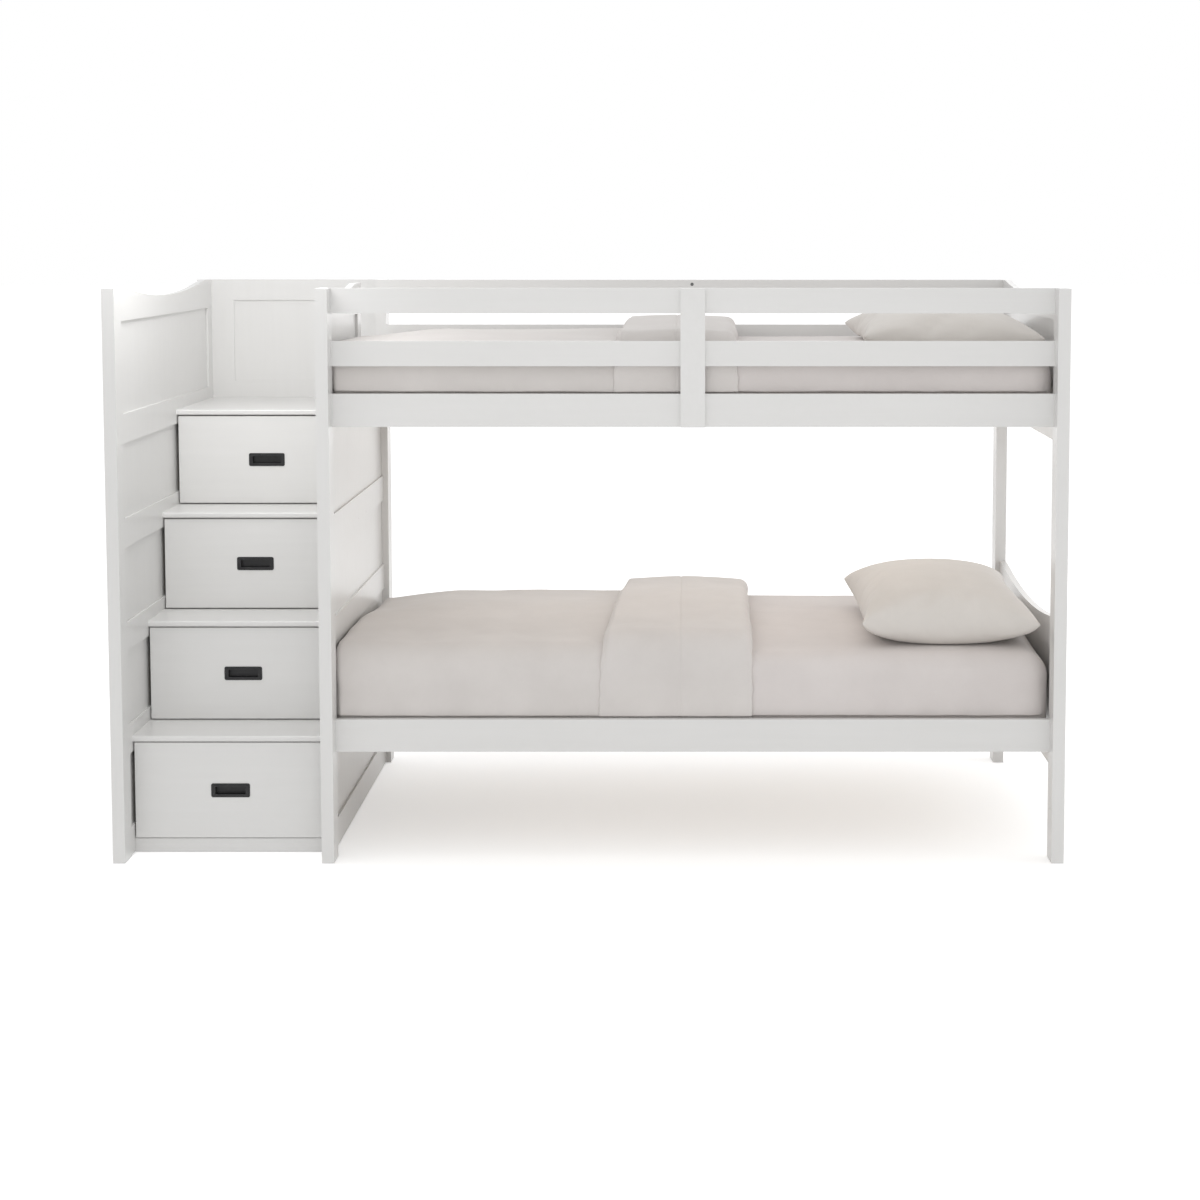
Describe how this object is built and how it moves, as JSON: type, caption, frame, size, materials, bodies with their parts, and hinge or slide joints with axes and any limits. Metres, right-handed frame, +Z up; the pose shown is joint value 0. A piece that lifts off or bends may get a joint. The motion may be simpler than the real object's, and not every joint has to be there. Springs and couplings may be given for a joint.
{
  "type": "bunk bed with stairs",
  "caption": "White painted twin bunk bed with a framed drawer staircase at one end, guard rails, scooped end panels and made-up bedding on both bunks.",
  "frame": {"origin": "on the floor at the middle of the object's footprint", "axes": "+X from the stairs to the foot of the beds, +Y from the front to the rear, +Z up"},
  "size_m": [2.54, 1.1, 1.535],
  "materials": {
    "white_paint": "satin white paint on wood",
    "drawer_wood": "clear-coated plywood",
    "slat_wood": "planed bare pine",
    "black_pull": "matt black powder coat",
    "steel": "bright zinc plate",
    "fitted_sheet": "plain woven cotton",
    "duvet_cover": "plain woven cotton",
    "pillow_case": "plain woven cotton"
  },
  "bodies": {
    "frame": {"end_bottom_rails": "white_paint", "end_panels": "white_paint", "end_top_rails": "white_paint", "entry_guard_panel": "white_paint", "entry_guard_rail": "white_paint", "entry_post": "white_paint", "foot_front_post": "white_paint", "foot_rear_post": "white_paint", "front_guard_rails": "white_paint", "guard_nuts": "steel", "guard_stiles": "white_paint", "landing": "white_paint", "lower_duvet": "duvet_cover", "lower_front_rail": "white_paint", "lower_mattress": "fitted_sheet", "lower_pillow": "pillow_case", "lower_rear_rail": "white_paint", "lower_slats": "slat_wood", "middle_wall_front_post": "white_paint", "middle_wall_panels": "white_paint", "middle_wall_rails": "white_paint", "middle_wall_rear_post": "white_paint", "rail_bolts": "steel", "rear_guard_rails": "white_paint", "side_wall_front_post": "white_paint", "side_wall_panels": "white_paint", "side_wall_rails": "white_paint", "side_wall_rear_post": "white_paint", "side_wall_top_rail": "white_paint", "slat_ledgers": "slat_wood", "slide_channels": "steel", "stair_back_panels": "white_paint", "stair_back_rails": "white_paint", "stair_back_stiles": "white_paint", "toe_kick": "white_paint", "tread_1": "white_paint", "tread_2": "white_paint", "tread_3": "white_paint", "upper_duvet": "duvet_cover", "upper_front_rail": "white_paint", "upper_mattress": "fitted_sheet", "upper_pillow": "pillow_case", "upper_rear_rail": "white_paint", "upper_slats": "slat_wood"},
    "drawer_1": {"drawer_1_box": "drawer_wood", "drawer_1_front": "white_paint", "drawer_1_pull": "black_pull", "drawer_1_slides": "steel"},
    "drawer_2": {"drawer_2_box": "drawer_wood", "drawer_2_front": "white_paint", "drawer_2_pull": "black_pull", "drawer_2_slides": "steel"},
    "drawer_3": {"drawer_3_box": "drawer_wood", "drawer_3_front": "white_paint", "drawer_3_pull": "black_pull", "drawer_3_slides": "steel"},
    "drawer_4": {"drawer_4_box": "drawer_wood", "drawer_4_front": "white_paint", "drawer_4_pull": "black_pull", "drawer_4_slides": "steel"}
  },
  "joints": [
    {"name": "drawer_1_slide", "type": "slide", "parent": "frame", "child": "drawer_1", "axis": [0, -1, 0], "range_m": [0, 0.3]},
    {"name": "drawer_2_slide", "type": "slide", "parent": "frame", "child": "drawer_2", "axis": [0, -1, 0], "range_m": [0, 0.3]},
    {"name": "drawer_3_slide", "type": "slide", "parent": "frame", "child": "drawer_3", "axis": [0, -1, 0], "range_m": [0, 0.3]},
    {"name": "drawer_4_slide", "type": "slide", "parent": "frame", "child": "drawer_4", "axis": [0, -1, 0], "range_m": [0, 0.3]}
  ]
}
